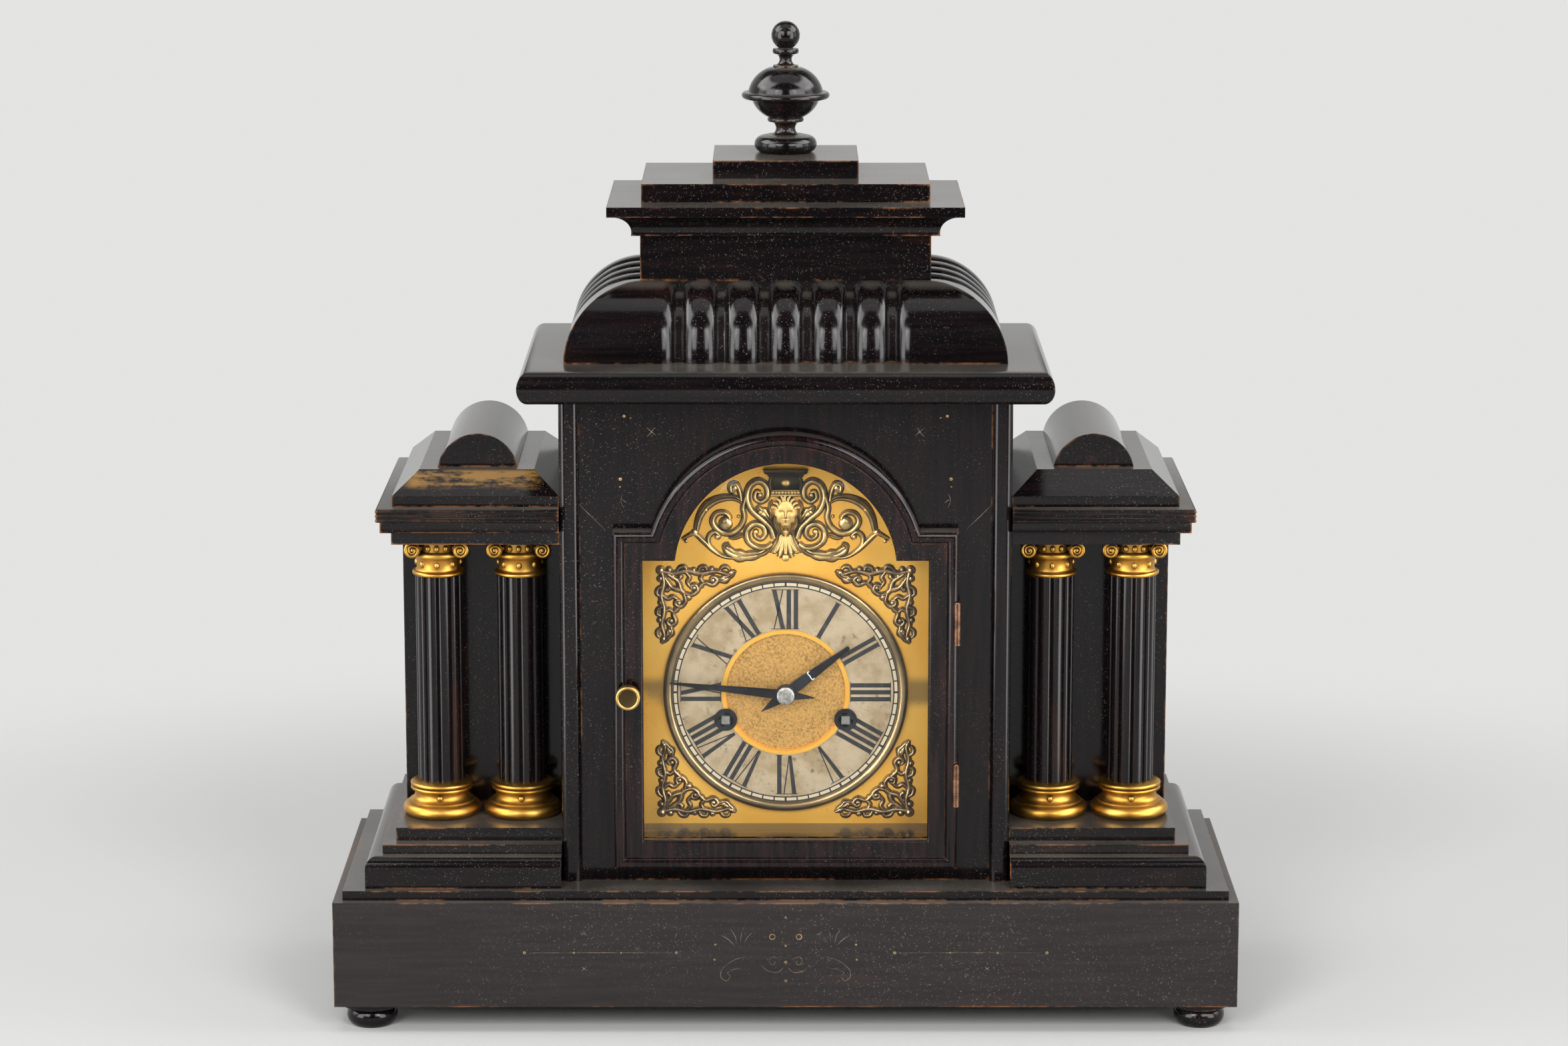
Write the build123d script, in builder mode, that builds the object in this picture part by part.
"""Ebonised architectural mantel clock, in millimetres.

The feet stand on the XY plane, the plinth centred over the origin. +Z is up and the dial faces -Y.
Depths are measured back from the front of the plinth, and halves of widths out from the middle plane.
"""

import os
from math import atan2, cos, degrees, hypot, radians, sin, sqrt

from build123d import *

os.makedirs("parts", exist_ok=True)

# Clearances
running_gap = 0.05
seat_gap = 0.02
flat_gap = 0.5
swing_gap = 0.4

# Plinth, feet and floor board
plinth_width = 440.0
plinth_depth = 156.0
plinth_height = 52.6
plinth_wall = 12.0
plinth_lid = 9.0
foot_height = 13.0
foot_inset = 17.0
foot_flange_radius = 14.35
foot_flange_height = 3.2
foot_neck_radius = 9.6
foot_bun_radius = 12.4
foot_tip_radius = 9.8
foot_block = 32.0
bun_widest_share = 0.55
floor_inset = 4.6
floor_thickness = 4.7

# Central case
case_width = 218.4
case_height = 239.3
side_thickness = 9.6
side_front = 21.0
side_edge_radius = 3.2
case_back = 152.0
panel_front = 25.0
panel_thickness = 12.0
panel_reveal = 1.0
dial_board_thickness = 13.0
seat_thickness = 10.0

# Cornice, dome and stepped top
cornice_overhang = 18.8
cornice_front = 3.0
cornice_back = 154.0
cornice_thickness = 16.0
cornice_nose = 5.0
dome_half_width = 106.8
dome_front = 30.0
dome_height = 36.1
dome_inset = 36.3
dome_setback = 30.0
lobe_pitch = 20.56
front_grooves = 6
side_grooves = 4
groove_width = 6.7
groove_depth = 3.6
groove_stop = 4.0
roof_back = 148.0
neck_height = 22.2
neck_wall = 14.0
crown_overhang = 15.7
crown_fillet_overhang = 4.1
crown_fillet_height = 1.6
crown_cove_height = 8.8
crown_fascia_height = 4.9
step_half_width = 70.0
step_front = 64.0
step_thickness = 8.8
cap_half_width = 35.6
cap_front = 84.0
cap_thickness = 8.9

# Finial
finial_depth = 120.0
finial_foot_radius = 15.5
finial_foot_height = 8.2
finial_stem_radius = 4.8
finial_stem_height = 7.2
finial_bowl_radius = 16.5
finial_bowl_height = 11.2
finial_rim_radius = 21.8
finial_rim_height = 3.3
finial_lid_radius = 18.3
finial_lid_height = 12.2
finial_neck_radius = 3.0
finial_neck_height = 7.0
finial_collar_radius = 6.4
finial_collar_height = 2.3
finial_ball_radius = 7.1
ball_seat_share = 0.9
finial_foot_low_share = 0.77
finial_foot_top_share = 0.69
finial_bowl_share = 0.87
finial_lid_share = 0.81

# Side wings
wing_width = 79.8
wing_front = 73.5
wing_wall = 8.0
wing_riser_overhang = 15.7
wing_riser_front = 9.0
wing_riser_height = 4.45
wing_ovolo_height = 10.75
wing_ovolo_radius = 5.2
wing_step_overhang = 7.6
wing_step_front = 17.0
wing_step_height = 4.8
wing_slab_overhang = 1.4
wing_slab_front = 24.0
wing_slab_height = 6.5
frieze_height = 6.6
band_overhang = 6.5
band_front = 19.0
band_height = 5.4
lip_overhang = 8.5
lip_front = 17.0
lip_height = 6.6
lip_reeds = 3
reed_groove = 0.9
roof_fillet_height = 5.2
roof_rise = 10.9
roof_slope = 12.5
roll_radius = 19.7
roll_height = 16.2
roll_front = 43.5
roll_back = 136.0

# Columns
column_inner_x = 130.0
column_outer_x = 170.0
column_depth = 54.0
column_base_height = 17.6
column_base_radius = 19.1
column_ring_radius = 15.2
column_scotia_radius = 11.4
torus_share = 0.36
ring_low_share = 0.72
ring_high_share = 0.92
torus_inner_share = 0.92
ring_inner_share = 0.9
shaft_radius = 11.5
shaft_height = 103.3
shaft_flutes = 10
flute_radius = 1.5
capital_height = 20.5
capital_width = 32.7
capital_depth = 27.0
capital_foot_radius = 12.3
abacus_height = 4.0
volute_radius = 4.6
volute_drop_share = 0.8
capital_foot_share = 0.12
capital_neck_share = 0.9
capital_bell_share = 0.98

# Front door
door_front = 13.0
door_half_width = 83.3
door_bottom_rise = 8.3
door_shoulder_rise = 176.0
arch_rise = 155.5
door_frame_width = 14.4
door_arch_radius = 68.0
door_bead = 3.3
door_bead_relief = 1.5
glass_rebate = 5.0
glass_thickness = 3.0
glass_recess = 6.0
knob_rise = 95.9
knob_radius = 5.95
knob_length = 8.0
knob_stem_radius = 3.2
spindle_radius = 1.8
catch_length = 10.0
catch_width = 5.0
catch_thickness = 1.6

# Hinges
hinge_length = 21.0
hinge_radius = 1.7
hinge_pin_radius = 0.9
hinge_leaf = 1.2
hinge_leaf_gap = 0.2
hinge_inset = 0.6
hinge_proud = 0.6
hinge_reach = 9.5
hinge_mortise = 5.0
knuckle_gap = 0.2
upper_hinge_rise = 131.3
lower_hinge_rise = 50.8
back_hinge_rise = 45.0
back_leaf_width = 8.0
back_hinge_proud = 1.2

# Back door
back_door_thickness = 8.0
button_length = 27.0
button_width = 7.0
button_thickness = 1.6
button_pin_radius = 1.5
button_pin_length = 8.0
button_round_share = 0.45

# Dial
dial_rise = 88.6
dial_overlap = 6.0
dial_plate_thickness = 1.2
bezel_radius = 60.2
bezel_width = 4.5
bezel_height = 3.4
bezel_rounding = 2.0
chapter_inner_radius = 31.5
chapter_thickness = 1.2
centre_rim_width = 2.0
centre_rim_height = 1.8
winding_half_spacing = 29.5
winding_drop = 13.7
collar_radius = 5.6
collar_bore = 3.7
collar_flange = 1.0
collar_neck_radius = 4.4
ornament_thickness = 2.0
spandrel_reach = 63.4
spandrel_size = 39.0
spandrel_arm = 6.6
spandrel_scroll = 4.2
spandrel_heart = 8.0
mask_half_width = 10.0
mask_height = 47.0
ornament_drop = 2.0
arch_scroll_x = 21.5
arch_scroll_rise = 22.0
arch_scroll_radius = 12.5
arch_leaf_x = 40.0
arch_leaf_rise = 13.0
arch_leaf_radius = 9.5
arch_scroll_band = 4.5
arch_bar_height = 5.0

# Hands
hand_hours = 1
hand_minutes = 46
hour_hand_length = 38.9
hour_hand_tail = 15.0
minute_hand_length = 57.0
minute_hand_tail = 14.7
hand_thickness = 1.0
hand_clearance = 3.0
hour_hand_half_width = 2.9
minute_hand_half_width = 2.3
hand_spacing = 2.2
hand_boss_radius = 5.2
nut_radius = 4.3
nut_height = 2.0

# Movement frame
plate_gap = 40.0
plate_thickness = 2.0
plate_half_width = 56.0
plate_height = 102.0
dial_to_plate = 6.8
plate_drop = 42.9
pillar_radius = 3.5
pillar_inset = 6.0
end_shake = 0.3
pivot_radius = 0.5
pivot_bite = 1.8
arbor_radius = 0.8
stud_radius = 1.2

# Wheels
motion_module = 0.5
cannon_teeth = 15
minute_wheel_teeth = 45
minute_pinion_teeth = 12
hour_wheel_teeth = 48
great_module = 0.6
great_teeth = 76
second_pinion_teeth = 10
second_module = 0.5
second_teeth = 70
centre_pinion_teeth = 10
centre_module = 0.4
centre_teeth = 84
third_pinion_teeth = 7
third_module = 0.36
third_teeth = 84
escape_pinion_teeth = 7
escape_teeth = 40
escape_radius = 12.0
escape_tooth_height = 2.2
escape_rise = 32.0
pin_module = 0.45
pin_teeth = 72
pin_pinion_teeth = 10
pin_bearing = 95.0
lifting_pins = 8
lifting_pin_circle = 12.0
lifting_pin_radius = 0.8
lifting_pin_length = 3.0
warning_module = 0.36
warning_teeth = 60
warning_pinion_teeth = 8
warning_bearing = 70.0
fly_pinion_teeth = 7
fly_bearing = 100.0
fly_half_span = 10.4
fly_length = 18.0
fly_thickness = 0.6
dedendum = 1.25
addendum = 0.75
tooth_root_share = 0.24
tooth_tip_share = 0.1
crossing_count = 5
crossing_circle_share = 0.58
crossing_radius_share = 0.25
escape_root_share = 0.3
escape_tip_share = 0.06
wheel_thickness = 1.2
pinion_thickness = 4.0
cannon_face = 2.0
hour_wheel_gap = 1.6
centre_station = 1.4
warning_station = 10.0
escape_station = 14.0
fly_station = 16.0
pin_station = 28.6
second_station = 30.0
third_station = 34.4
centre_arbor_radius = 1.5
cannon_pipe_radius = 2.2
hour_pipe_radius = 3.2
barrel_radius = 20.0
barrel_length = 20.0
barrel_start = 4.0
winding_arbor_radius = 3.0
winding_square = 4.0
winding_square_length = 6.0
winding_reach = 1.8
winding_pivot_radius = 2.0
ratchet_radius = 8.0
ratchet_teeth = 18
ratchet_tooth_height = 1.4
ratchet_thickness = 1.5
ratchet_root_share = 0.4
ratchet_tip_share = 0.05

# Escapement and pendulum
pallet_gap = 1.0
pallet_span_teeth = 8.5
pallet_rise = 15.3
anchor_band = 2.4
anchor_hub_radius = 2.2
anchor_hole_radius = 2.2
cock_half_width = 10.0
cock_clearance = 7.0
cock_bar = 2.0
cock_leg = 3.0
cock_half_height = 4.0
crutch_length = 34.0
crutch_width = 2.6
crutch_offset = 2.0
fork_gap = 0.3
fork_prong = 1.0
fork_height = 3.0
suspension_pin_radius = 1.2
suspension_pin_length = 8.0
pendulum_length = 97.5
rod_radius = 1.0
rod_offset = 12.0
eye_radius = 3.0
bob_radius = 17.0
bob_thickness = 9.0
bob_rounding = 3.4
rating_nut_radius = 3.2
rating_nut_height = 3.0
rating_screw_drop = 8.0

# Gong and hammer
gong_offset = 26.0
gong_wire_radius = 1.5
gong_inner_radius = 10.0
gong_pitch = 6.0
gong_half_turns = 9
gong_x = 20.5
gong_rise = 58.0
gong_stand_width = 16.0
gong_stand_height = 13.0
hammer_x = 50.0
hammer_rise = 19.1
hammer_rod_radius = 1.2
hammer_head_radius = 4.5
hammer_head_length = 14.0
hammer_head_rise = 29.7
hammer_gap = 2.2
hammer_tail = 6.2
hammer_tail_width = 2.4
hammer_tail_thickness = 2.0

# Heights
plinth_z = foot_height
floor_board_z = plinth_z + plinth_height
floor_z = floor_board_z + floor_thickness
cornice_z = floor_z + case_height
dome_z = cornice_z + cornice_thickness
neck_z = dome_z + dome_height
crown_z = neck_z + neck_height
step_z = crown_z + crown_fillet_height + crown_cove_height + crown_fascia_height
cap_z = step_z + step_thickness
finial_z = cap_z + cap_thickness
ovolo_z = floor_z + wing_riser_height
wing_step_z = ovolo_z + wing_ovolo_height
wing_slab_z = wing_step_z + wing_step_height
wing_z = wing_slab_z + wing_slab_height
shaft_z = wing_z + column_base_height
capital_z = shaft_z + shaft_height
frieze_z = capital_z + capital_height
band_z = frieze_z + frieze_height
lip_z = band_z + band_height
wing_roof_z = lip_z + lip_height
wing_slope_z = wing_roof_z + roof_fillet_height
roll_z = wing_slope_z + roof_rise
door_bottom_z = floor_z + door_bottom_rise
door_shoulder_z = floor_z + door_shoulder_rise
arch_z = floor_z + arch_rise
dial_z = floor_z + dial_rise
winding_z = dial_z - winding_drop
plate_z = dial_z - plate_drop

# Half widths and depths
half_case = case_width / 2
inner_half = half_case - side_thickness
wing_edge = half_case + wing_width
neck_half = dome_half_width - dome_inset
neck_front = dome_front + dome_setback
sight_half_width = door_half_width - door_frame_width
sight_bottom_z = door_bottom_z + door_frame_width
sight_shoulder_z = door_shoulder_z - door_frame_width
sight_arch_radius = door_arch_radius - door_frame_width
door_back = panel_front - flat_gap
dial_depth = panel_front + panel_thickness + dial_board_thickness
dial_face = dial_depth - chapter_thickness
front_plate_depth = dial_depth + dial_plate_thickness + dial_to_plate
gap_front = front_plate_depth + plate_thickness
gap_back = gap_front + plate_gap
movement_back = gap_back + plate_thickness
back_door_front = case_back - back_door_thickness


def at(depth):
    """The Y of a depth behind the plinth's front."""
    return depth - plinth_depth / 2


def face_plane(depth):
    """An upright plane at a depth, facing the front, with X to the right and Z up."""
    return Plane.XZ.offset(-at(depth))


def block(left, right, front, back, low, high, mode=Mode.ADD):
    """A square-edged block between two X, two depths and two heights."""
    with Locations(((left + right) / 2, at((front + back) / 2), (low + high) / 2)):
        Box(right - left, back - front, high - low, mode=mode)


def rod(x, z, front, back, radius, mode=Mode.ADD):
    """A round bar that runs from front to back."""
    with Locations((x, at((front + back) / 2), z)):
        Cylinder(radius, back - front, rotation=(90, 0, 0), mode=mode)


def upright(x, depth, low, high, radius, mode=Mode.ADD):
    """A round upright bar."""
    with Locations((x, at(depth), (low + high) / 2)):
        Cylinder(radius, high - low, mode=mode)


def turned(x, depth, outline):
    """Turn an outline about an upright axis. A step is a line's end, or an arc's middle and end."""
    with BuildSketch(face_plane(depth)) as profile:
        with BuildLine():
            here = (x + outline[0][0], outline[0][1])
            start = here
            for step in outline[1:]:
                stops = [(x + radius, z) for radius, z in zip(step[::2], step[1::2])]
                if len(stops) == 1:
                    Line(here, stops[0])
                else:
                    ThreePointArc(here, *stops)
                here = stops[-1]
            Line(here, start)
        make_face()
    revolve(profile.sketch, axis=Axis((x, at(depth), 0), (0, 0, 1)))


def arched(margin, mode=Mode.ADD):
    """The door's sight opening grown by a margin: a rectangle with a round arch on top."""
    low = sight_bottom_z - margin
    high = sight_shoulder_z + margin
    with Locations((0, (low + high) / 2)):
        Rectangle(2 * (sight_half_width + margin), high - low, mode=mode)
    with Locations((0, arch_z)):
        Circle(sight_arch_radius + margin, mode=mode)


def arched_slab(margin, front, back, mode=Mode.ADD):
    """A slab of the arched outline between two depths."""
    with BuildSketch(face_plane(back)) as outline:
        arched(margin)
    extrude(outline.sketch, amount=back - front, mode=mode)


def pitch_radius(teeth, module):
    """The pitch radius of a wheel or pinion."""
    return teeth * module / 2


def bearing(start, end):
    """The direction in degrees from one arbor to another."""
    return degrees(atan2(end[1] - start[1], end[0] - start[0]))


def beside(start, distance, angle):
    """The point at a distance and a direction in degrees from another."""
    return (start[0] + distance * cos(radians(angle)), start[1] + distance * sin(radians(angle)))


def between(start, start_reach, end, end_reach, side):
    """The point at given distances from two others, left (1) or right (-1) of the line between them."""
    span = hypot(end[0] - start[0], end[1] - start[1])
    along = (start_reach**2 - end_reach**2 + span**2) / (2 * span)
    turn = degrees(atan2(side * sqrt(start_reach**2 - along**2), along))
    return beside(start, start_reach, bearing(start, end) + turn)


def toothed(centre, teeth, radii, shares, first, front, back):
    """A toothed disc: its teeth have straight sides, and half widths that are shares of the tooth pitch."""
    root, tip = radii
    root_share, tip_share = shares
    step = 360 / teeth
    corners = []
    for tooth in range(teeth):
        middle = first + tooth * step
        corners.append(beside(centre, root, middle - root_share * step))
        corners.append(beside(centre, tip, middle - tip_share * step))
        corners.append(beside(centre, tip, middle + tip_share * step))
        corners.append(beside(centre, root, middle + root_share * step))
    with BuildSketch(face_plane(back)) as outline:
        with BuildLine():
            Polyline(*corners, close=True)
        make_face()
    extrude(outline.sketch, amount=back - front)


def gear(centre, teeth, module, front, first, thickness=wheel_thickness):
    """A gear with a tooth in the direction first, from a front depth back."""
    pitch = pitch_radius(teeth, module)
    root = pitch - dedendum * module
    tip = pitch + addendum * module
    toothed(centre, teeth, (root, tip), (tooth_root_share, tooth_tip_share), first, front, front + thickness)


def crossings(centre, radius, front):
    """Round openings that lighten a wheel of this pitch radius."""
    middle = crossing_circle_share * radius
    opening = crossing_radius_share * radius
    for spoke in range(crossing_count):
        x, z = beside(centre, middle, 90 + spoke * 360 / crossing_count)
        rod(x, z, front, front + wheel_thickness, opening, mode=Mode.SUBTRACT)


def arbor(centre, radius=arbor_radius):
    """An arbor between the plates, with a pivot in each."""
    rod(*centre, gap_front + end_shake, gap_back - end_shake, radius)
    rod(*centre, gap_front - pivot_bite, gap_back + pivot_bite, pivot_radius)


def save(piece, name):
    """Label a finished piece and write it."""
    piece.part.label = name
    export_step(piece.part, f"parts/{name}.step")


# Four turned bun feet
with BuildPart() as bun_feet:
    for foot_x in (foot_inset - plinth_width / 2, plinth_width / 2 - foot_inset):
        for foot_depth in (foot_inset, plinth_depth - foot_inset):
            flange_z = foot_height - foot_flange_height
            turned(
                foot_x,
                foot_depth,
                [
                    (0, 0),
                    (foot_tip_radius, 0),
                    (foot_bun_radius, flange_z * bun_widest_share, foot_neck_radius, flange_z),
                    (foot_flange_radius, flange_z),
                    (foot_flange_radius, foot_height),
                    (0, foot_height),
                ],
            )
save(bun_feet, "bun_feet")

# Plinth: a box open below, with a block in each corner over a foot
with BuildPart() as plinth_box:
    half = plinth_width / 2
    block(-half, half, 0, plinth_depth, plinth_z, floor_board_z)
    block(
        plinth_wall - half,
        half - plinth_wall,
        plinth_wall,
        plinth_depth - plinth_wall,
        plinth_z,
        floor_board_z - plinth_lid,
        mode=Mode.SUBTRACT,
    )
    for side in (-1, 1):
        near, far = sorted((side * (half - foot_block), side * (half - plinth_wall)))
        heights = (plinth_z, floor_board_z - plinth_lid)
        block(near, far, plinth_wall, foot_block, *heights)
        block(near, far, plinth_depth - foot_block, plinth_depth - plinth_wall, *heights)
save(plinth_box, "plinth_box")

with BuildPart() as floor_board:
    half = plinth_width / 2 - floor_inset
    block(-half, half, floor_inset, plinth_depth, floor_board_z, floor_z)
save(floor_board, "floor_board")

# Wing bases: riser, ovolo, step and slab, against the case sides
with BuildPart() as wing_bases:
    riser_edge = wing_edge + wing_riser_overhang
    block(half_case, riser_edge, wing_riser_front, case_back, floor_z, wing_step_z)
    top_edges = wing_bases.faces().sort_by(Axis.Z)[-1].edges()
    fillet([top_edges.sort_by(Axis.Y)[0], top_edges.sort_by(Axis.X)[-1]], wing_ovolo_radius)
    block(half_case, wing_edge + wing_step_overhang, wing_step_front, case_back, wing_step_z, wing_slab_z)
    block(half_case, wing_edge + wing_slab_overhang, wing_slab_front, case_back, wing_slab_z, wing_z)
    mirror(about=Plane.YZ)
save(wing_bases, "wing_bases")

# Wing bodies: front, outer side and back boards, closed inside by the case side
with BuildPart() as wing_bodies:
    block(half_case, wing_edge, wing_front, case_back, wing_z, frieze_z)
    block(
        half_case,
        wing_edge - wing_wall,
        wing_front + wing_wall,
        case_back - wing_wall,
        wing_z,
        frieze_z,
        mode=Mode.SUBTRACT,
    )
    mirror(about=Plane.YZ)
save(wing_bodies, "wing_bodies")

# Columns, in front of the wing bodies
column_places = [side * x for side in (-1, 1) for x in (column_inner_x, column_outer_x)]
with BuildPart() as column_bases:
    torus_top = wing_z + column_base_height * torus_share
    ring_low = wing_z + column_base_height * ring_low_share
    ring_high = wing_z + column_base_height * ring_high_share
    torus_inner = column_base_radius * torus_inner_share
    ring_inner = column_ring_radius * ring_inner_share
    for column_x in column_places:
        turned(
            column_x,
            column_depth,
            [
                (0, wing_z),
                (torus_inner, wing_z),
                (column_base_radius, (wing_z + torus_top) / 2, torus_inner, torus_top),
                (ring_inner, torus_top),
                (column_scotia_radius, (torus_top + ring_low) / 2, ring_inner, ring_low),
                (column_ring_radius, (ring_low + ring_high) / 2, ring_inner, ring_high),
                (shaft_radius, shaft_z),
                (0, shaft_z),
            ],
        )
save(column_bases, "column_bases")

with BuildPart() as column_shafts:
    with BuildSketch(Plane.XY.offset(shaft_z)):
        with Locations(*[(column_x, at(column_depth)) for column_x in column_places]):
            Circle(shaft_radius)
            with PolarLocations(shaft_radius, shaft_flutes):
                Circle(flute_radius, mode=Mode.SUBTRACT)
    extrude(amount=shaft_height)
save(column_shafts, "column_shafts")

with BuildPart() as column_capitals:
    abacus_z = frieze_z - abacus_height
    volute_z = abacus_z - volute_radius * volute_drop_share
    foot_top = capital_z + capital_height * capital_foot_share
    bell_radius = shaft_radius * capital_bell_share
    for column_x in column_places:
        turned(
            column_x,
            column_depth,
            [
                (0, capital_z),
                (capital_foot_radius, capital_z),
                (capital_foot_radius, foot_top),
                (shaft_radius * capital_neck_share, foot_top),
                (bell_radius, (foot_top + volute_z) / 2, capital_foot_radius, volute_z),
                (capital_foot_radius, abacus_z),
                (0, abacus_z),
            ],
        )
        half = capital_width / 2
        abacus_half_depth = capital_depth / 2
        abacus_sides = (column_x - half + volute_radius / 2, column_x + half - volute_radius / 2)
        abacus_ends = (column_depth - abacus_half_depth, column_depth + abacus_half_depth)
        block(*abacus_sides, *abacus_ends, abacus_z, frieze_z)
        for side in (-1, 1):
            volute_x = column_x + side * (half - volute_radius)
            rod(volute_x, volute_z, *abacus_ends, volute_radius)
save(column_capitals, "column_capitals")

# Wing entablatures: frieze, band and reeded lip
with BuildPart() as wing_entablatures:
    block(half_case, wing_edge + wing_slab_overhang, wing_slab_front, case_back, frieze_z, band_z)
    block(half_case, wing_edge + band_overhang, band_front, case_back, band_z, lip_z)
    lip_edge = wing_edge + lip_overhang
    block(half_case, lip_edge, lip_front, case_back, lip_z, wing_roof_z)
    for groove in range(1, lip_reeds):
        groove_z = lip_z + groove * lip_height / lip_reeds
        groove_span = (groove_z - reed_groove / 2, groove_z + reed_groove / 2)
        block(half_case, lip_edge, lip_front, lip_front + reed_groove, *groove_span, mode=Mode.SUBTRACT)
        block(lip_edge - reed_groove, lip_edge, lip_front, case_back, *groove_span, mode=Mode.SUBTRACT)
    mirror(about=Plane.YZ)
save(wing_entablatures, "wing_entablatures")

# Wing roofs: a hipped roof with a half barrel on each
roof_outer = wing_edge + wing_slab_overhang / 2
with BuildPart() as wing_roofs:
    block(half_case, roof_outer, wing_slab_front, case_back, wing_roof_z, wing_slope_z)
    with BuildSketch(Plane.XY.offset(wing_slope_z)):
        with Locations(((half_case + roof_outer) / 2, at((wing_slab_front + case_back) / 2))):
            Rectangle(roof_outer - half_case, case_back - wing_slab_front)
    with BuildSketch(Plane.XY.offset(roll_z)):
        with Locations(((half_case + roof_outer) / 2, at((wing_slab_front + case_back) / 2))):
            Rectangle(roof_outer - half_case - 2 * roof_slope, case_back - wing_slab_front - 2 * roof_slope)
    loft(ruled=True)
    mirror(about=Plane.YZ)
save(wing_roofs, "wing_roofs")

with BuildPart() as wing_rolls:
    roll_x = (half_case + roof_outer) / 2
    with BuildSketch(face_plane(roll_back)):
        with Locations((roll_x, roll_z + roll_height - roll_radius)):
            Circle(roll_radius)
        with Locations((roll_x, roll_z - roll_radius)):
            Rectangle(2 * roll_radius, 2 * roll_radius, mode=Mode.SUBTRACT)
    extrude(amount=roll_back - roll_front)
    mirror(about=Plane.YZ)
save(wing_rolls, "wing_rolls")

# Hinge axes and heights
front_hinge_x = door_half_width - hinge_inset
front_hinge_depth = door_front - hinge_proud
front_hinge_heights = [floor_z + lower_hinge_rise, floor_z + upper_hinge_rise]
back_hinge_x = inner_half - flat_gap / 2
back_hinge_depth = case_back + back_hinge_proud
back_hinge_heights = [floor_z + back_hinge_rise, cornice_z - back_hinge_rise]
leaf_offset = hinge_leaf_gap / 2
door_leaf = (
    front_hinge_x - leaf_offset - hinge_leaf,
    front_hinge_x - leaf_offset,
    front_hinge_depth,
    front_hinge_depth + hinge_reach,
)
case_leaf = (
    front_hinge_x + leaf_offset,
    front_hinge_x + leaf_offset + hinge_leaf,
    front_hinge_depth,
    panel_front + hinge_mortise,
)
back_leaf_depths = (case_back - hinge_leaf, case_back)
back_door_leaf = (back_hinge_x - back_leaf_width, back_hinge_x - leaf_offset, *back_leaf_depths)
back_case_leaf = (back_hinge_x + leaf_offset, back_hinge_x + back_leaf_width, *back_leaf_depths)

# Door catch and back button
knob_x = -(door_half_width + sight_half_width) / 2
knob_z = floor_z + knob_rise
catch_front = panel_front + panel_thickness + flat_gap
catch_back = catch_front + catch_thickness
catch_slot = catch_width / 2 + 2 * flat_gap
button_x = -(half_case + inner_half) / 2
button_z = (floor_z + cornice_z) / 2

# Case sides: the front edges are rounded, and the back edges take the hinges and the turn button
with BuildPart() as case_sides:
    block(inner_half, half_case, side_front, case_back, floor_z, cornice_z)
    front_edges = case_sides.edges().filter_by(Axis.Z).group_by(Axis.Y)[0]
    fillet(front_edges, side_edge_radius)
    mirror(about=Plane.YZ)
    for hinge_z in back_hinge_heights:
        low, high = hinge_z - hinge_length / 2, hinge_z + hinge_length / 2
        block(*back_case_leaf, low, high, mode=Mode.SUBTRACT)
        upright(back_hinge_x, back_hinge_depth, low, high, hinge_radius + swing_gap, mode=Mode.SUBTRACT)
    pin_hole = button_pin_radius + running_gap
    rod(button_x, button_z, case_back - button_pin_length, case_back, pin_hole, mode=Mode.SUBTRACT)
save(case_sides, "case_sides")

# Front panel with the arched opening, hinge mortises and the slot for the door catch
with BuildPart() as front_panel:
    panel_back = panel_front + panel_thickness
    block(-inner_half, inner_half, panel_front, panel_back, floor_z, cornice_z)
    arched_slab(panel_reveal, panel_front, panel_back, mode=Mode.SUBTRACT)
    for hinge_z in front_hinge_heights:
        mortise = (case_leaf[0] - seat_gap, case_leaf[1] + seat_gap, panel_front, case_leaf[3] + seat_gap)
        block(*mortise, hinge_z - hinge_length / 2, hinge_z + hinge_length / 2, mode=Mode.SUBTRACT)
    slot = (knob_x - catch_slot, knob_x + catch_slot, panel_front, panel_back)
    block(*slot, knob_z - catch_slot, knob_z + catch_length + 2 * flat_gap, mode=Mode.SUBTRACT)
save(front_panel, "front_panel")

# Dial board: lines the opening behind the panel and carries the dial plate
with BuildPart() as dial_board:
    board_front = panel_front + panel_thickness
    block(-inner_half, inner_half, board_front, dial_depth, floor_z, cornice_z)
    arched_slab(panel_reveal, board_front, dial_depth, mode=Mode.SUBTRACT)
    pocket = (knob_x - catch_length - 2 * flat_gap, knob_x + catch_slot, board_front, catch_back + flat_gap)
    block(*pocket, knob_z - catch_slot, knob_z + catch_length + 2 * flat_gap, mode=Mode.SUBTRACT)
save(dial_board, "dial_board")

with BuildPart() as seat_board:
    block(-inner_half, inner_half, front_plate_depth, movement_back, plate_z - seat_thickness, plate_z)
save(seat_board, "seat_board")

# Main cornice with a rounded nose on the front and sides
with BuildPart() as main_cornice:
    half = half_case + cornice_overhang
    block(-half, half, cornice_front, cornice_back, cornice_z, dome_z)
    for face in (main_cornice.faces().sort_by(Axis.Z)[-1], main_cornice.faces().sort_by(Axis.Z)[0]):
        fillet(face.edges().sort_by(Axis.Y)[:-1], cornice_nose)
save(main_cornice, "main_cornice")

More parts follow.
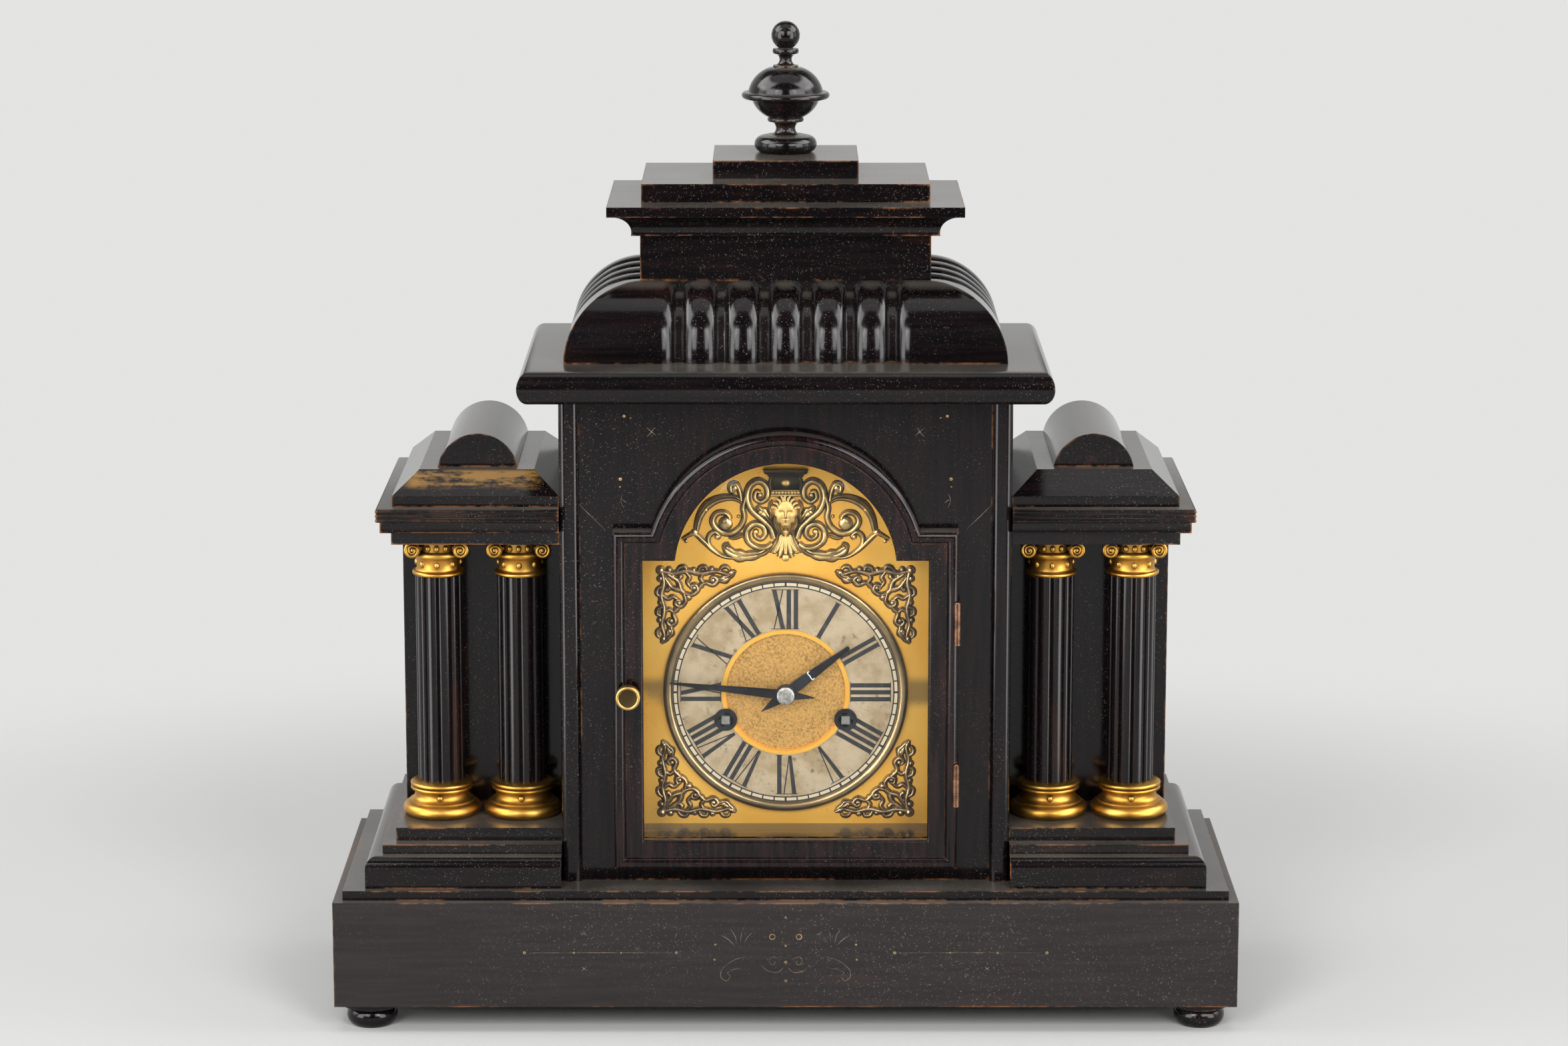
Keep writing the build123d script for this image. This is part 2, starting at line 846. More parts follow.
# Gadrooned dome: a quarter-elliptical cushion, hollow below, flush at the back
with BuildPart() as dome:
    with BuildSketch(face_plane(roof_back)):
        with Locations((0, (dome_z + neck_z) / 2)):
            Rectangle(2 * neck_half, dome_height)
        for side in (-1, 1):
            with Locations((side * neck_half, dome_z)):
                Ellipse(dome_inset, dome_height)
        with Locations((0, dome_z - dome_height)):
            Rectangle(4 * dome_half_width, 2 * dome_height, mode=Mode.SUBTRACT)
    extrude(amount=roof_back - dome_front)
    with BuildSketch(Plane.YZ):
        with Locations((at(neck_front), dome_z)):
            Ellipse(dome_setback, dome_height)
        with Locations((at((neck_front + roof_back) / 2), (dome_z + neck_z) / 2)):
            Rectangle(roof_back - neck_front, dome_height)
    extrude(amount=dome_half_width, both=True, mode=Mode.INTERSECT)
    for groove in range(front_grooves):
        groove_x = (groove - (front_grooves - 1) / 2) * lobe_pitch
        with BuildSketch(Plane.YZ.offset(groove_x)):
            with Locations((at(neck_front - groove_stop - dome_setback / 2), (dome_z + neck_z) / 2)):
                Rectangle(dome_setback, dome_height)
            with Locations((at(neck_front), dome_z)):
                Ellipse(dome_setback - groove_depth, dome_height - groove_depth, mode=Mode.SUBTRACT)
        extrude(amount=groove_width / 2, both=True, mode=Mode.SUBTRACT)
    for groove in range(side_grooves):
        groove_y = (dome_front + roof_back) / 2 + (groove - (side_grooves - 1) / 2) * lobe_pitch
        for side in (-1, 1):
            with BuildSketch(face_plane(groove_y)):
                with Locations((side * (neck_half + groove_stop + dome_inset / 2), (dome_z + neck_z) / 2)):
                    Rectangle(dome_inset, dome_height)
                with Locations((side * neck_half, dome_z)):
                    Ellipse(dome_inset - groove_depth, dome_height - groove_depth, mode=Mode.SUBTRACT)
            extrude(amount=groove_width / 2, both=True, mode=Mode.SUBTRACT)
    cavity_half = neck_half - neck_wall
    cavity_ends = (neck_front + neck_wall, roof_back - neck_wall)
    block(-cavity_half, cavity_half, *cavity_ends, dome_z, neck_z, mode=Mode.SUBTRACT)
save(dome, "dome")

with BuildPart() as neck_block:
    block(-neck_half, neck_half, neck_front, roof_back, neck_z, crown_z)
    block(-cavity_half, cavity_half, *cavity_ends, neck_z, crown_z, mode=Mode.SUBTRACT)
save(neck_block, "neck_block")

# Coved upper cornice, mitred round the front and sides
with BuildPart() as upper_cornice:
    cove_z = crown_z + crown_fillet_height
    fillet_half = neck_half + crown_fillet_overhang
    fascia_half = neck_half + crown_overhang
    fillet_front = neck_front - crown_fillet_overhang
    fascia_front = neck_front - crown_overhang
    with BuildSketch(face_plane(roof_back)):
        with Locations((0, (crown_z + step_z) / 2)):
            Rectangle(2 * fascia_half, step_z - crown_z)
        for side in (-1, 1):
            with Locations((side * fascia_half, cove_z)):
                Ellipse(fascia_half - fillet_half, crown_cove_height, mode=Mode.SUBTRACT)
    extrude(amount=roof_back - fascia_front)
    with BuildSketch(Plane.YZ):
        with Locations((at((fascia_front + roof_back) / 2), (crown_z + step_z) / 2)):
            Rectangle(roof_back - fascia_front, step_z - crown_z)
        with Locations((at(fascia_front), cove_z)):
            Ellipse(fillet_front - fascia_front, crown_cove_height, mode=Mode.SUBTRACT)
    extrude(amount=fascia_half, both=True, mode=Mode.INTERSECT)
save(upper_cornice, "upper_cornice")

# Two stepped slabs under the finial
with BuildPart() as roof_slabs:
    block(-step_half_width, step_half_width, step_front, roof_back, step_z, cap_z)
    block(-cap_half_width, cap_half_width, cap_front, roof_back, cap_z, finial_z)
save(roof_slabs, "roof_slabs")

# Turned finial: foot, stem, lidded bowl, collar and ball
with BuildPart() as finial:
    foot_top = finial_z + finial_foot_height
    stem_top = foot_top + finial_stem_height
    bowl_top = stem_top + finial_bowl_height
    rim_top = bowl_top + finial_rim_height
    lid_top = rim_top + finial_lid_height
    collar_low = lid_top + finial_neck_height
    collar_top = collar_low + finial_collar_height
    ball_z = collar_top + ball_seat_share * finial_ball_radius
    bowl_middle = finial_bowl_radius * finial_bowl_share
    foot_neck = finial_foot_radius * finial_foot_top_share
    ball_foot = finial_ball_radius * sqrt(1 - ball_seat_share**2)
    turned(
        0,
        finial_depth,
        [
            (0, finial_z),
            (finial_foot_radius * finial_foot_low_share, finial_z),
            (finial_foot_radius, (finial_z + foot_top) / 2, foot_neck, foot_top),
            (finial_stem_radius, (foot_top + stem_top) / 2, finial_bowl_radius / 2, stem_top),
            (bowl_middle, (stem_top + bowl_top) / 2, finial_bowl_radius, bowl_top),
            (finial_rim_radius, bowl_top),
            (finial_rim_radius, rim_top),
            (finial_lid_radius, rim_top),
            (finial_lid_radius * finial_lid_share, (rim_top + lid_top) / 2, finial_collar_radius, lid_top),
            (finial_neck_radius, (lid_top + collar_low) / 2, finial_collar_radius, collar_low),
            (finial_collar_radius, collar_top),
            (ball_foot, collar_top),
            (finial_ball_radius, ball_z, 0, ball_z + finial_ball_radius),
        ],
    )
save(finial, "finial")


def hinge_half(x, depth, z, leaf, outer_knuckles):
    """One leaf of a hinge with its knuckles: the outer two thirds of the barrel, or the middle one."""
    block(*leaf, z - hinge_length / 2, z + hinge_length / 2)
    third = hinge_length / 3
    for place in (-1, 0, 1):
        low, high = z + (place - 0.5) * third, z + (place + 0.5) * third
        if outer_knuckles == (place != 0):
            upright(x, depth, low + knuckle_gap / 2, high - knuckle_gap / 2, hinge_radius)
        else:
            upright(x, depth, low, high, hinge_radius + swing_gap, mode=Mode.SUBTRACT)
    bore = hinge_pin_radius + running_gap
    upright(x, depth, z - hinge_length / 2, z + hinge_length / 2, bore, mode=Mode.SUBTRACT)


# Front door: arched frame with a raised outer bead, rebated behind for the glass
with BuildPart() as door_frame:
    arched_slab(door_frame_width, door_front, door_back)
    arched_slab(0, door_front, door_back, mode=Mode.SUBTRACT)
    arched_slab(door_frame_width - door_bead, door_front, door_front + door_bead_relief, mode=Mode.SUBTRACT)
    arched_slab(glass_rebate, door_front + glass_recess, door_back, mode=Mode.SUBTRACT)
    for hinge_z in front_hinge_heights:
        low, high = hinge_z - hinge_length / 2, hinge_z + hinge_length / 2
        block(*door_leaf[:2], door_front, door_leaf[3], low, high, mode=Mode.SUBTRACT)
        cleared = (low - swing_gap, high + swing_gap)
        block(door_leaf[1], door_half_width, door_front, door_back, *cleared, mode=Mode.SUBTRACT)
        upright(front_hinge_x, front_hinge_depth, *cleared, hinge_radius + swing_gap, mode=Mode.SUBTRACT)
    rod(knob_x, knob_z, door_front, door_back, spindle_radius + running_gap, mode=Mode.SUBTRACT)
save(door_frame, "door_frame")

with BuildPart() as door_glass:
    glass_front = door_front + glass_recess
    arched_slab(glass_rebate - seat_gap, glass_front, glass_front + glass_thickness)
save(door_glass, "door_glass")

with BuildPart() as door_hinge_leaves:
    for hinge_z in front_hinge_heights:
        hinge_half(front_hinge_x, front_hinge_depth, hinge_z, door_leaf, outer_knuckles=False)
save(door_hinge_leaves, "door_hinge_leaves")

with BuildPart() as case_hinge_leaves:
    for hinge_z in front_hinge_heights:
        hinge_half(front_hinge_x, front_hinge_depth, hinge_z, case_leaf, outer_knuckles=True)
    for hinge_z in back_hinge_heights:
        hinge_half(back_hinge_x, back_hinge_depth, hinge_z, back_case_leaf, outer_knuckles=True)
save(case_hinge_leaves, "case_hinge_leaves")

with BuildPart() as hinge_pins:
    for hinge_z in front_hinge_heights:
        ends = (hinge_z - hinge_length / 2, hinge_z + hinge_length / 2)
        upright(front_hinge_x, front_hinge_depth, *ends, hinge_pin_radius)
    for hinge_z in back_hinge_heights:
        ends = (hinge_z - hinge_length / 2, hinge_z + hinge_length / 2)
        upright(back_hinge_x, back_hinge_depth, *ends, hinge_pin_radius)
save(hinge_pins, "hinge_pins")

# Door knob, with the spindle through the stile and the catch behind the panel
with BuildPart() as door_knob:
    knob_back = door_front + door_bead_relief - flat_gap
    rod(knob_x, knob_z, knob_back - knob_length, knob_back - knob_length / 2, knob_radius)
    fillet(door_knob.edges().filter_by(GeomType.CIRCLE).group_by(Axis.Y)[0], knob_length / 5)
    rod(knob_x, knob_z, knob_back - knob_length / 2, knob_back, knob_stem_radius)
    rod(knob_x, knob_z, knob_back, catch_back, spindle_radius)
    catch = (knob_x - catch_width / 2, knob_x + catch_width / 2, catch_front, catch_back)
    block(*catch, knob_z - catch_width / 2, knob_z + catch_length)
save(door_knob, "door_knob")

# Back door and its turn button
with BuildPart() as back_door:
    door_edge = inner_half - flat_gap
    block(-door_edge, door_edge, back_door_front, case_back, floor_z + flat_gap, cornice_z - flat_gap)
    for hinge_z in back_hinge_heights:
        low, high = hinge_z - hinge_length / 2, hinge_z + hinge_length / 2
        block(*back_door_leaf, low, high, mode=Mode.SUBTRACT)
        upright(back_hinge_x, back_hinge_depth, low, high, hinge_radius + swing_gap, mode=Mode.SUBTRACT)
save(back_door, "back_door")

with BuildPart() as back_hinge_leaves:
    for hinge_z in back_hinge_heights:
        hinge_half(back_hinge_x, back_hinge_depth, hinge_z, back_door_leaf, outer_knuckles=False)
save(back_hinge_leaves, "back_hinge_leaves")

with BuildPart() as back_button:
    button_front = case_back + swing_gap
    button_sides = (button_x - button_width / 2, button_x + button_width / 2)
    button_ends = (button_z - button_length / 2, button_z + button_length / 2)
    block(*button_sides, button_front, button_front + button_thickness, *button_ends)
    fillet(back_button.edges().filter_by(Axis.Y), button_width * button_round_share)
    rod(button_x, button_z, case_back - button_pin_length + end_shake, button_front, button_pin_radius)
save(back_button, "back_button")

# Dial plate with its raised centre rim, and holes for the hour pipe and the winding collars
winding_points = [(-winding_half_spacing, winding_z), (winding_half_spacing, winding_z)]
plate_rear = dial_depth + dial_plate_thickness
with BuildPart() as dial_plate:
    rim_front = dial_depth - centre_rim_height
    rim_inner = chapter_inner_radius - centre_rim_width
    rod(0, dial_z, rim_front, dial_depth, chapter_inner_radius)
    rod(0, dial_z, rim_front, dial_depth, rim_inner, mode=Mode.SUBTRACT)
    for point in winding_points:
        rod(*point, rim_front, dial_depth, collar_radius + seat_gap, mode=Mode.SUBTRACT)
    arched_slab(dial_overlap, dial_depth, plate_rear)
    for point in winding_points:
        rod(*point, dial_depth, plate_rear, collar_neck_radius + seat_gap, mode=Mode.SUBTRACT)
    rod(0, dial_z, dial_depth, plate_rear, hour_pipe_radius + flat_gap, mode=Mode.SUBTRACT)
save(dial_plate, "dial_plate")

bezel_inner = bezel_radius - bezel_width
with BuildPart() as chapter_ring:
    rod(0, dial_z, dial_face, dial_depth, bezel_inner - seat_gap)
    rod(0, dial_z, dial_face, dial_depth, chapter_inner_radius + seat_gap, mode=Mode.SUBTRACT)
    for point in winding_points:
        rod(*point, dial_face, dial_depth, collar_neck_radius + seat_gap, mode=Mode.SUBTRACT)
save(chapter_ring, "chapter_ring")

with BuildPart() as dial_bezel:
    bezel_front = dial_depth - bezel_height
    rod(0, dial_z, bezel_front, dial_depth, bezel_radius)
    rod(0, dial_z, bezel_front, dial_depth, bezel_inner, mode=Mode.SUBTRACT)
    fillet(dial_bezel.edges().filter_by(GeomType.CIRCLE).group_by(Axis.Y)[0], bezel_rounding)
save(dial_bezel, "dial_bezel")

with BuildPart() as winding_collars:
    for point in winding_points:
        rod(*point, dial_face - collar_flange, dial_face, collar_radius)
        rod(*point, dial_face, plate_rear, collar_neck_radius)
        rod(*point, dial_face - collar_flange, plate_rear, collar_bore, mode=Mode.SUBTRACT)
save(winding_collars, "winding_collars")

# Corner ornaments: two scrolled arms and a rounded heart in each corner round the bezel
with BuildPart() as dial_spandrels:
    with BuildSketch(face_plane(dial_depth)):
        for side in (-1, 1):
            for rise in (-1, 1):
                arm_middle = spandrel_reach - spandrel_size / 2
                arm_centre = spandrel_reach - spandrel_arm / 2
                scroll_centre = spandrel_reach - spandrel_scroll
                scroll_end = spandrel_reach - spandrel_size + spandrel_scroll
                heart_centre = spandrel_reach - spandrel_arm - spandrel_heart / 2
                with Locations((side * arm_middle, dial_z + rise * arm_centre)):
                    Rectangle(spandrel_size, spandrel_arm)
                with Locations((side * arm_centre, dial_z + rise * arm_middle)):
                    Rectangle(spandrel_arm, spandrel_size)
                with Locations((side * scroll_end, dial_z + rise * scroll_centre)):
                    Circle(spandrel_scroll)
                with Locations((side * scroll_centre, dial_z + rise * scroll_end)):
                    Circle(spandrel_scroll)
                with Locations((side * heart_centre, dial_z + rise * heart_centre)):
                    Circle(spandrel_heart)
    extrude(amount=ornament_thickness)
save(dial_spandrels, "dial_spandrels")

# Arch ornament: a mask panel between two pairs of open scrolls on a bar
with BuildPart() as arch_ornament:
    ornament_z = arch_z - ornament_drop
    with BuildSketch(face_plane(dial_depth)):
        with Locations((0, ornament_z + mask_height / 2)):
            Rectangle(2 * mask_half_width, mask_height)
        with Locations((0, ornament_z + arch_bar_height / 2)):
            Rectangle(2 * arch_leaf_x, arch_bar_height)
        for side in (-1, 1):
            with Locations((side * arch_scroll_x, ornament_z + arch_scroll_rise)):
                Circle(arch_scroll_radius)
                Circle(arch_scroll_radius - arch_scroll_band, mode=Mode.SUBTRACT)
            with Locations((side * arch_leaf_x, ornament_z + arch_leaf_rise)):
                Circle(arch_leaf_radius)
                Circle(arch_leaf_radius - arch_scroll_band, mode=Mode.SUBTRACT)
    extrude(amount=ornament_thickness)
save(arch_ornament, "arch_ornament")

# Arbor places, from the pitch radii
centre_at = (0, dial_z)
stud_at = beside(centre_at, pitch_radius(cannon_teeth + minute_wheel_teeth, motion_module), -90)
strike_at, time_at = winding_points
second_at = between(
    time_at,
    pitch_radius(great_teeth + second_pinion_teeth, great_module),
    centre_at,
    pitch_radius(second_teeth + centre_pinion_teeth, second_module),
    -1,
)
escape_at = (0, dial_z + escape_rise)
third_at = between(
    centre_at,
    pitch_radius(centre_teeth + third_pinion_teeth, centre_module),
    escape_at,
    pitch_radius(third_teeth + escape_pinion_teeth, third_module),
    1,
)
pallet_at = (0, escape_at[1] + pallet_rise)
pin_at = beside(strike_at, pitch_radius(great_teeth + pin_pinion_teeth, great_module), pin_bearing)
warning_at = beside(pin_at, pitch_radius(pin_teeth + warning_pinion_teeth, pin_module), warning_bearing)
fly_at = beside(warning_at, pitch_radius(warning_teeth + fly_pinion_teeth, warning_module), fly_bearing)
hammer_at = (-hammer_x, dial_z + hammer_rise)
plain_arbors = [second_at, escape_at, third_at, pin_at, warning_at, fly_at]

# Depths of the motion work
hour_hand_front = dial_face - hand_clearance - hand_thickness
minute_hand_front = hour_hand_front - hand_spacing
cannon_front = front_plate_depth - end_shake - cannon_face
minute_wheel_front = cannon_front + (cannon_face - wheel_thickness) / 2
hour_wheel_front = plate_rear + hour_wheel_gap
minute_pinion_front = hour_wheel_front - end_shake


def hand(angle, reach, half_width, front, pipe_radius):
    """A hand at an angle clockwise from twelve: a long point, a round boss and a pointed tail."""
    length, tail = reach
    heading = 90 - angle
    corners = [
        beside(centre_at, length, heading),
        beside(centre_at, half_width, heading + 90),
        beside(centre_at, tail, heading + 180),
        beside(centre_at, half_width, heading - 90),
    ]
    with BuildSketch(face_plane(front + hand_thickness)) as outline:
        with BuildLine():
            Polyline(*corners, close=True)
        make_face()
        with Locations(centre_at):
            Circle(hand_boss_radius)
            Circle(pipe_radius + seat_gap, mode=Mode.SUBTRACT)
    extrude(outline.sketch, amount=hand_thickness)


with BuildPart() as hour_hand:
    hour_angle = 30 * (hand_hours + hand_minutes / 60)
    hour_reach = (hour_hand_length, hour_hand_tail)
    hand(hour_angle, hour_reach, hour_hand_half_width, hour_hand_front, hour_pipe_radius)
save(hour_hand, "hour_hand")

with BuildPart() as minute_hand:
    minute_angle = 6 * hand_minutes
    minute_reach = (minute_hand_length, minute_hand_tail)
    hand(minute_angle, minute_reach, minute_hand_half_width, minute_hand_front, cannon_pipe_radius)
save(minute_hand, "minute_hand")

with BuildPart() as hand_nut:
    nut_front = minute_hand_front - nut_height
    centre_bore = centre_arbor_radius + running_gap
    rod(*centre_at, nut_front, minute_hand_front, nut_radius)
    rod(*centre_at, nut_front, minute_hand_front, centre_bore, mode=Mode.SUBTRACT)
save(hand_nut, "hand_nut")

with BuildPart() as cannon_pinion:
    gear(centre_at, cannon_teeth, motion_module, cannon_front, bearing(centre_at, stud_at), cannon_face)
    rod(*centre_at, minute_hand_front, cannon_front, cannon_pipe_radius)
    rod(*centre_at, minute_hand_front, cannon_front + cannon_face, centre_bore, mode=Mode.SUBTRACT)
save(cannon_pinion, "cannon_pinion")

with BuildPart() as minute_wheel:
    facing = bearing(stud_at, centre_at)
    gear(stud_at, minute_wheel_teeth, motion_module, minute_wheel_front, facing + 180 / minute_wheel_teeth)
    pinion_face = minute_wheel_front - minute_pinion_front
    gear(stud_at, minute_pinion_teeth, motion_module, minute_pinion_front, facing, pinion_face)
    bore_back = minute_wheel_front + wheel_thickness
    rod(*stud_at, minute_pinion_front, bore_back, stud_radius + running_gap, mode=Mode.SUBTRACT)
save(minute_wheel, "minute_wheel")

with BuildPart() as hour_wheel:
    hour_first = bearing(centre_at, stud_at) + 180 / hour_wheel_teeth
    gear(centre_at, hour_wheel_teeth, motion_module, hour_wheel_front, hour_first)
    rod(*centre_at, hour_hand_front, hour_wheel_front, hour_pipe_radius)
    hour_bore_back = hour_wheel_front + wheel_thickness
    rod(*centre_at, hour_hand_front, hour_bore_back, cannon_pipe_radius + running_gap, mode=Mode.SUBTRACT)
save(hour_wheel, "hour_wheel")

# Movement plates: the front one with the minute-wheel stud, the back one with pillars and suspension cock
with BuildPart() as front_plate:
    plate_high = plate_z + plate_height
    block(-plate_half_width, plate_half_width, front_plate_depth, gap_front, plate_z, plate_high)
    rod(*stud_at, minute_pinion_front, front_plate_depth, stud_radius)
    rod(*centre_at, front_plate_depth, gap_front, centre_bore, mode=Mode.SUBTRACT)
    for point in winding_points:
        rod(*point, front_plate_depth, gap_front, winding_arbor_radius + running_gap, mode=Mode.SUBTRACT)
    for point in plain_arbors + [pallet_at, hammer_at]:
        rod(*point, front_plate_depth, gap_front, pivot_radius + running_gap, mode=Mode.SUBTRACT)
save(front_plate, "front_plate")

cock_front = movement_back + cock_clearance
cock_back = cock_front + cock_bar
rod_depth = movement_back + rod_offset
with BuildPart() as back_plate:
    block(-plate_half_width, plate_half_width, gap_back, movement_back, plate_z, plate_high)
    for pillar_x in (pillar_inset - plate_half_width, plate_half_width - pillar_inset):
        for pillar_z in (plate_z + pillar_inset, plate_high - pillar_inset):
            rod(pillar_x, pillar_z, gap_front, gap_back, pillar_radius)
    cock_heights = (pallet_at[1] - cock_half_height, pallet_at[1] + cock_half_height)
    block(-cock_half_width, cock_half_width, movement_back, cock_back, *cock_heights)
    cock_mouth = cock_half_width - cock_leg
    block(-cock_mouth, cock_mouth, movement_back, cock_front, *cock_heights, mode=Mode.SUBTRACT)
    rod(*pallet_at, cock_front, cock_front + pivot_bite, pivot_radius + running_gap, mode=Mode.SUBTRACT)
    rod(*pallet_at, cock_back, cock_back + suspension_pin_length, suspension_pin_radius)
    rod(*pallet_at, gap_back, movement_back, anchor_hole_radius, mode=Mode.SUBTRACT)
    for point in plain_arbors + [centre_at]:
        rod(*point, gap_back, movement_back, pivot_radius + running_gap, mode=Mode.SUBTRACT)
    for point in winding_points:
        rod(*point, gap_back, movement_back, winding_pivot_radius + running_gap, mode=Mode.SUBTRACT)
    rod(*hammer_at, gap_back, movement_back, arbor_radius + running_gap, mode=Mode.SUBTRACT)
save(back_plate, "back_plate")

# Spring barrels with their great wheels, and the winding arbors with their ratchets
great_front = gap_front + barrel_start + barrel_length


def barrel(centre, meshes_with):
    """A closed drum with a great wheel behind it, free on its winding arbor."""
    rod(*centre, gap_front + barrel_start, great_front, barrel_radius)
    gear(centre, great_teeth, great_module, great_front, bearing(centre, meshes_with))
    bore_back = great_front + wheel_thickness
    bore = winding_arbor_radius + running_gap
    rod(*centre, gap_front + barrel_start, bore_back, bore, mode=Mode.SUBTRACT)


def winding_arbor(centre):
    """A winding arbor: square end, ratchet in front of the plate, round body and back pivot."""
    tip = dial_face - winding_reach
    shoulder = tip + winding_square_length
    half = winding_square / 2
    block(centre[0] - half, centre[0] + half, tip, shoulder, centre[1] - half, centre[1] + half)
    ratchet_back = front_plate_depth - end_shake
    ratchet_front = ratchet_back - ratchet_thickness
    ratchet_radii = (ratchet_radius - ratchet_tooth_height, ratchet_radius)
    ratchet_shares = (ratchet_root_share, ratchet_tip_share)
    toothed(centre, ratchet_teeth, ratchet_radii, ratchet_shares, 0, ratchet_front, ratchet_back)
    rod(*centre, shoulder, gap_back - end_shake, winding_arbor_radius)
    rod(*centre, gap_back - end_shake, gap_back + pivot_bite, winding_pivot_radius)


with BuildPart() as time_barrel:
    barrel(time_at, second_at)
save(time_barrel, "time_barrel")

with BuildPart() as time_winding_arbor:
    winding_arbor(time_at)
save(time_winding_arbor, "time_winding_arbor")

with BuildPart() as strike_barrel:
    barrel(strike_at, pin_at)
save(strike_barrel, "strike_barrel")

with BuildPart() as strike_winding_arbor:
    winding_arbor(strike_at)
save(strike_winding_arbor, "strike_winding_arbor")


def pinion(centre, driver, teeth, module, wheel_front):
    """A pinion driven by a wheel: it has a gap between two leaves on the line of centres."""
    front = wheel_front - (pinion_thickness - wheel_thickness) / 2
    gear(centre, teeth, module, front, bearing(centre, driver) + 180 / teeth, pinion_thickness)


# Going train
second_front = gap_front + second_station
centre_front = gap_front + centre_station
third_front = gap_front + third_station
escape_front = gap_front + escape_station
with BuildPart() as second_wheel:
    gear(second_at, second_teeth, second_module, second_front, bearing(second_at, centre_at))
    crossings(second_at, pitch_radius(second_teeth, second_module), second_front)
    pinion(second_at, time_at, second_pinion_teeth, great_module, great_front)
    arbor(second_at)
save(second_wheel, "second_wheel")

with BuildPart() as centre_wheel:
    gear(centre_at, centre_teeth, centre_module, centre_front, bearing(centre_at, third_at))
    crossings(centre_at, pitch_radius(centre_teeth, centre_module), centre_front)
    pinion(centre_at, second_at, centre_pinion_teeth, second_module, second_front)
    rod(*centre_at, nut_front, gap_back - end_shake, centre_arbor_radius)
    rod(*centre_at, gap_back - end_shake, gap_back + pivot_bite, pivot_radius)
save(centre_wheel, "centre_wheel")

with BuildPart() as third_wheel:
    gear(third_at, third_teeth, third_module, third_front, bearing(third_at, escape_at))
    crossings(third_at, pitch_radius(third_teeth, third_module), third_front)
    first = bearing(third_at, centre_at) + 180 / third_pinion_teeth
    pinion_front = gap_front + end_shake
    gear(third_at, third_pinion_teeth, centre_module, pinion_front, first, pinion_thickness)
    arbor(third_at)
save(third_wheel, "third_wheel")

with BuildPart() as escape_wheel:
    escape_root = escape_radius - escape_tooth_height
    escape_back = escape_front + wheel_thickness
    escape_shares = (escape_root_share, escape_tip_share)
    escape_radii = (escape_root, escape_radius)
    toothed(escape_at, escape_teeth, escape_radii, escape_shares, 90, escape_front, escape_back)
    crossings(escape_at, escape_root, escape_front)
    pinion(escape_at, third_at, escape_pinion_teeth, third_module, third_front)
    arbor(escape_at)
save(escape_wheel, "escape_wheel")

# Anchor: a band round the escape wheel's teeth, its arbor, and the crutch whose fork holds the pendulum rod
with BuildPart() as pallet_anchor:
    anchor_inner = escape_radius + pallet_gap
    half_span = pallet_span_teeth / 2 * 360 / escape_teeth
    with BuildSketch(face_plane(escape_back)):
        with Locations(escape_at):
            Circle(anchor_inner + anchor_band)
            Circle(anchor_inner, mode=Mode.SUBTRACT)
        far = 2 * (anchor_inner + anchor_band)
        sector = [escape_at, beside(escape_at, far, 90 + half_span), beside(escape_at, far, 90 - half_span)]
        with BuildLine():
            Polyline(*sector, close=True)
        make_face(mode=Mode.INTERSECT)
        with Locations(pallet_at):
            Circle(anchor_hub_radius)
    extrude(amount=wheel_thickness)
    rod(*pallet_at, gap_front + end_shake, cock_front - end_shake, arbor_radius)
    rod(*pallet_at, gap_front - pivot_bite, cock_front + pivot_bite - end_shake, pivot_radius)
    crutch_front = movement_back + crutch_offset
    crutch_back = crutch_front + wheel_thickness
    rod(*pallet_at, crutch_front, crutch_back, anchor_hub_radius)
    crutch_low = pallet_at[1] - crutch_length
    block(-crutch_width / 2, crutch_width / 2, crutch_front, crutch_back, crutch_low, pallet_at[1])
    prong_near = rod_radius + fork_gap
    prong_far = prong_near + fork_prong
    block(-prong_far, prong_far, crutch_front, crutch_back, crutch_low - fork_height, crutch_low)
    for near, far in ((-prong_far, -prong_near), (prong_near, prong_far)):
        block(near, far, crutch_back, rod_depth + rod_radius, crutch_low - fork_height, crutch_low)
save(pallet_anchor, "pallet_anchor")

with BuildPart() as pendulum:
    bob_z = pallet_at[1] - pendulum_length
    rod(0, bob_z, rod_depth - bob_thickness / 2, rod_depth + bob_thickness / 2, bob_radius)
    fillet(pendulum.edges().filter_by(GeomType.CIRCLE), bob_rounding)
    screw_low = bob_z - bob_radius - rating_screw_drop
    upright(0, rod_depth, screw_low, pallet_at[1], rod_radius)
    nut_low = bob_z - bob_radius - rating_nut_height
    upright(0, rod_depth, nut_low, nut_low + rating_nut_height, rating_nut_radius)
    rod(*pallet_at, rod_depth - rod_radius, rod_depth + rod_radius, eye_radius)
    eye_bore = suspension_pin_radius + running_gap
    rod(*pallet_at, rod_depth - rod_radius, rod_depth + rod_radius, eye_bore, mode=Mode.SUBTRACT)
save(pendulum, "pendulum")

# Striking train
pin_front = gap_front + pin_station
warning_front = gap_front + warning_station
with BuildPart() as pin_wheel:
    gear(pin_at, pin_teeth, pin_module, pin_front, bearing(pin_at, warning_at))
    for lifting_pin in range(lifting_pins):
        x, z = beside(pin_at, lifting_pin_circle, lifting_pin * 360 / lifting_pins)
        rod(x, z, pin_front, pin_front + wheel_thickness + lifting_pin_length, lifting_pin_radius)
    pinion(pin_at, strike_at, pin_pinion_teeth, great_module, great_front)
    arbor(pin_at)
save(pin_wheel, "pin_wheel")

with BuildPart() as warning_wheel:
    gear(warning_at, warning_teeth, warning_module, warning_front, bearing(warning_at, fly_at))
    crossings(warning_at, pitch_radius(warning_teeth, warning_module), warning_front)
    pinion(warning_at, pin_at, warning_pinion_teeth, pin_module, pin_front)
    arbor(warning_at)
save(warning_wheel, "warning_wheel")

